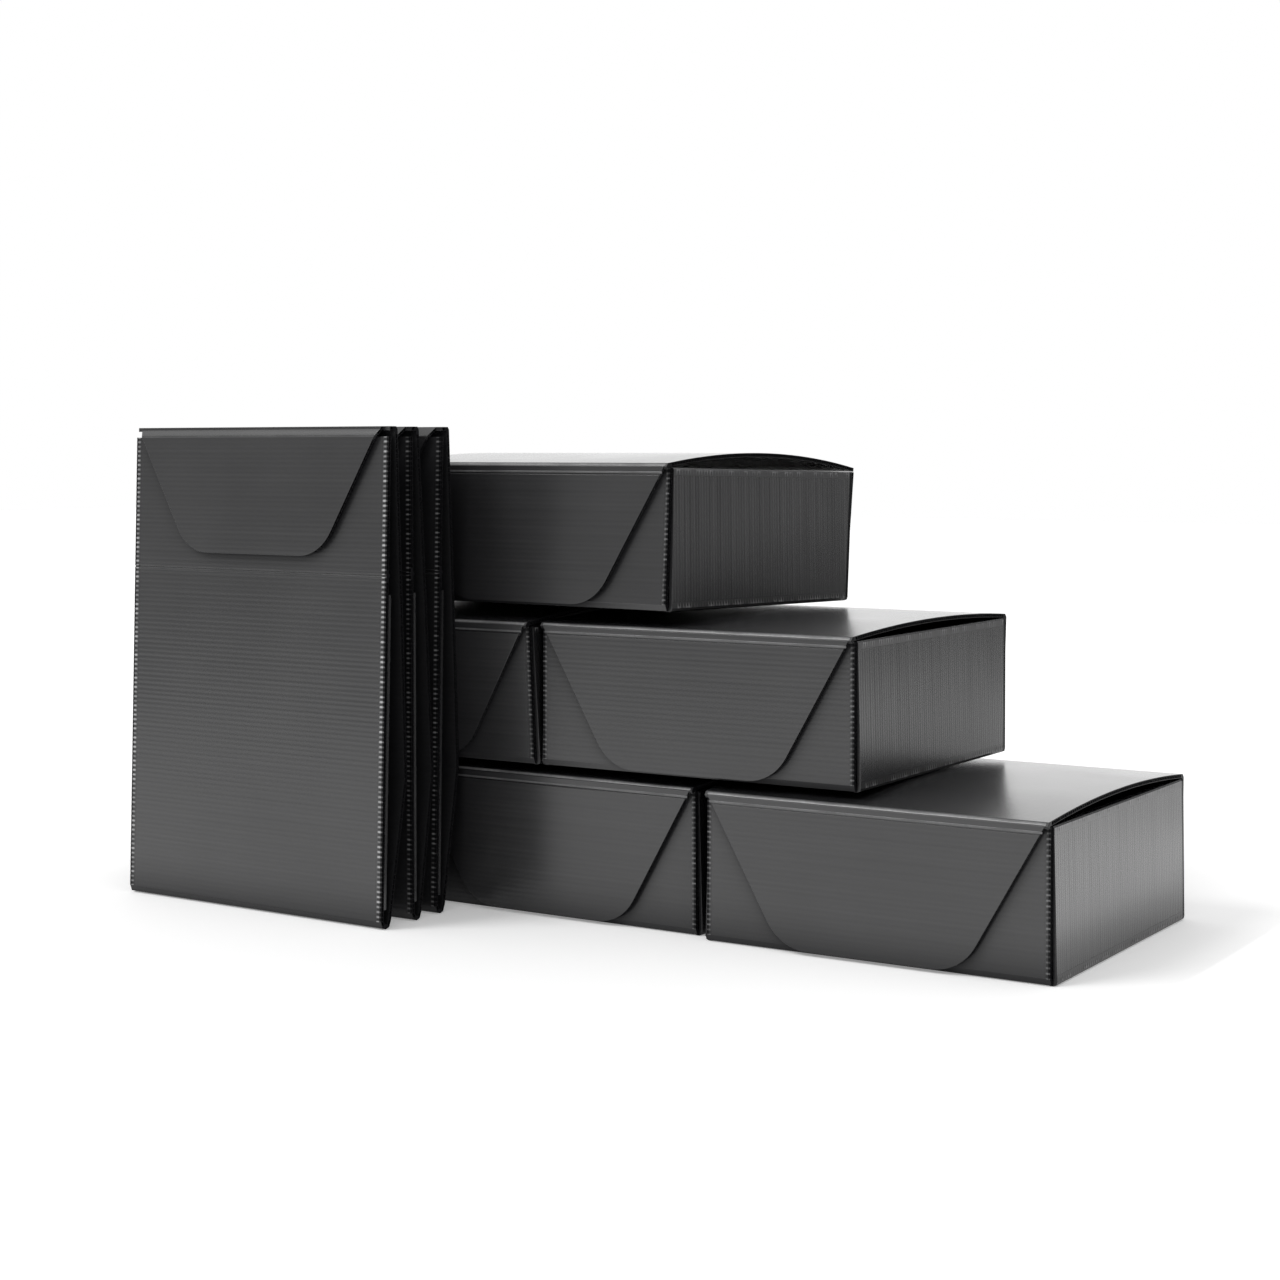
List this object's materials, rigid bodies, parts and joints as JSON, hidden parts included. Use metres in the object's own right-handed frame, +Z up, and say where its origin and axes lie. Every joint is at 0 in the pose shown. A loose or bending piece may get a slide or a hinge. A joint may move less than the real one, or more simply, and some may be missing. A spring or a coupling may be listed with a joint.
{
  "type": "stack of reusable mailers",
  "caption": "Stepped pile of closed reusable fluted plastic mailers, with flat folded mailers standing on edge in front of one end.",
  "frame": {"origin": "middle of the whole pile's bounding box, on the floor", "axes": "+X along the fronts of the piled mailers towards the low right end, +Y from the fronts to the backs, +Z up"},
  "size_m": [0.8088, 0.3774, 0.3644],
  "materials": {
    "fluted_board": "satin dark charcoal fluted polypropylene board",
    "hook_and_loop": "matte black hook and loop pad"
  },
  "bodies": {
    "pile": {"bottom_left_mailer": "fluted_board", "bottom_middle_mailer": "fluted_board", "bottom_right_mailer": "fluted_board", "middle_left_mailer": "fluted_board", "middle_right_mailer": "fluted_board", "top_mailer": "fluted_board", "flat_front_mailer": "fluted_board", "flat_middle_mailer": "fluted_board", "flat_rear_mailer": "fluted_board", "hook_pads": "hook_and_loop", "loop_pads": "hook_and_loop"},
    "bottom_right_flap_body": {"bottom_right_flap": "fluted_board", "bottom_right_loop_pad": "hook_and_loop"},
    "middle_right_flap_body": {"middle_right_flap": "fluted_board", "middle_right_loop_pad": "hook_and_loop"},
    "top_lid_body": {"top_lid": "fluted_board", "top_loop_pad": "hook_and_loop"},
    "flat_front_flap_body": {"flat_front_flap": "fluted_board", "flat_front_loop_pad": "hook_and_loop"}
  },
  "joints": [
    {"name": "bottom_right_flap_hinge", "type": "hinge", "parent": "pile", "child": "bottom_right_flap_body", "pos_m": [0.2725, -0.09691, 0.09845], "axis": [-1, 0, 0], "range_deg": [0, 95]},
    {"name": "middle_right_flap_hinge", "type": "hinge", "parent": "pile", "child": "middle_right_flap_body", "pos_m": [0.12811, -0.09158, 0.21135], "axis": [-1, -0.0021, 0], "range_deg": [0, 110]},
    {"name": "top_lid_hinge", "type": "hinge", "parent": "pile", "child": "top_lid_body", "pos_m": [-0.00446, 0.18174, 0.33252], "axis": [-0.9985, 0.055, 0], "range_deg": [0, 110]},
    {"name": "flat_front_flap_hinge", "type": "hinge", "parent": "pile", "child": "flat_front_flap_body", "pos_m": [-0.19777, -0.17881, 0.3644], "axis": [-0.9996, 0.0297, 0], "range_deg": [0, 150]}
  ]
}
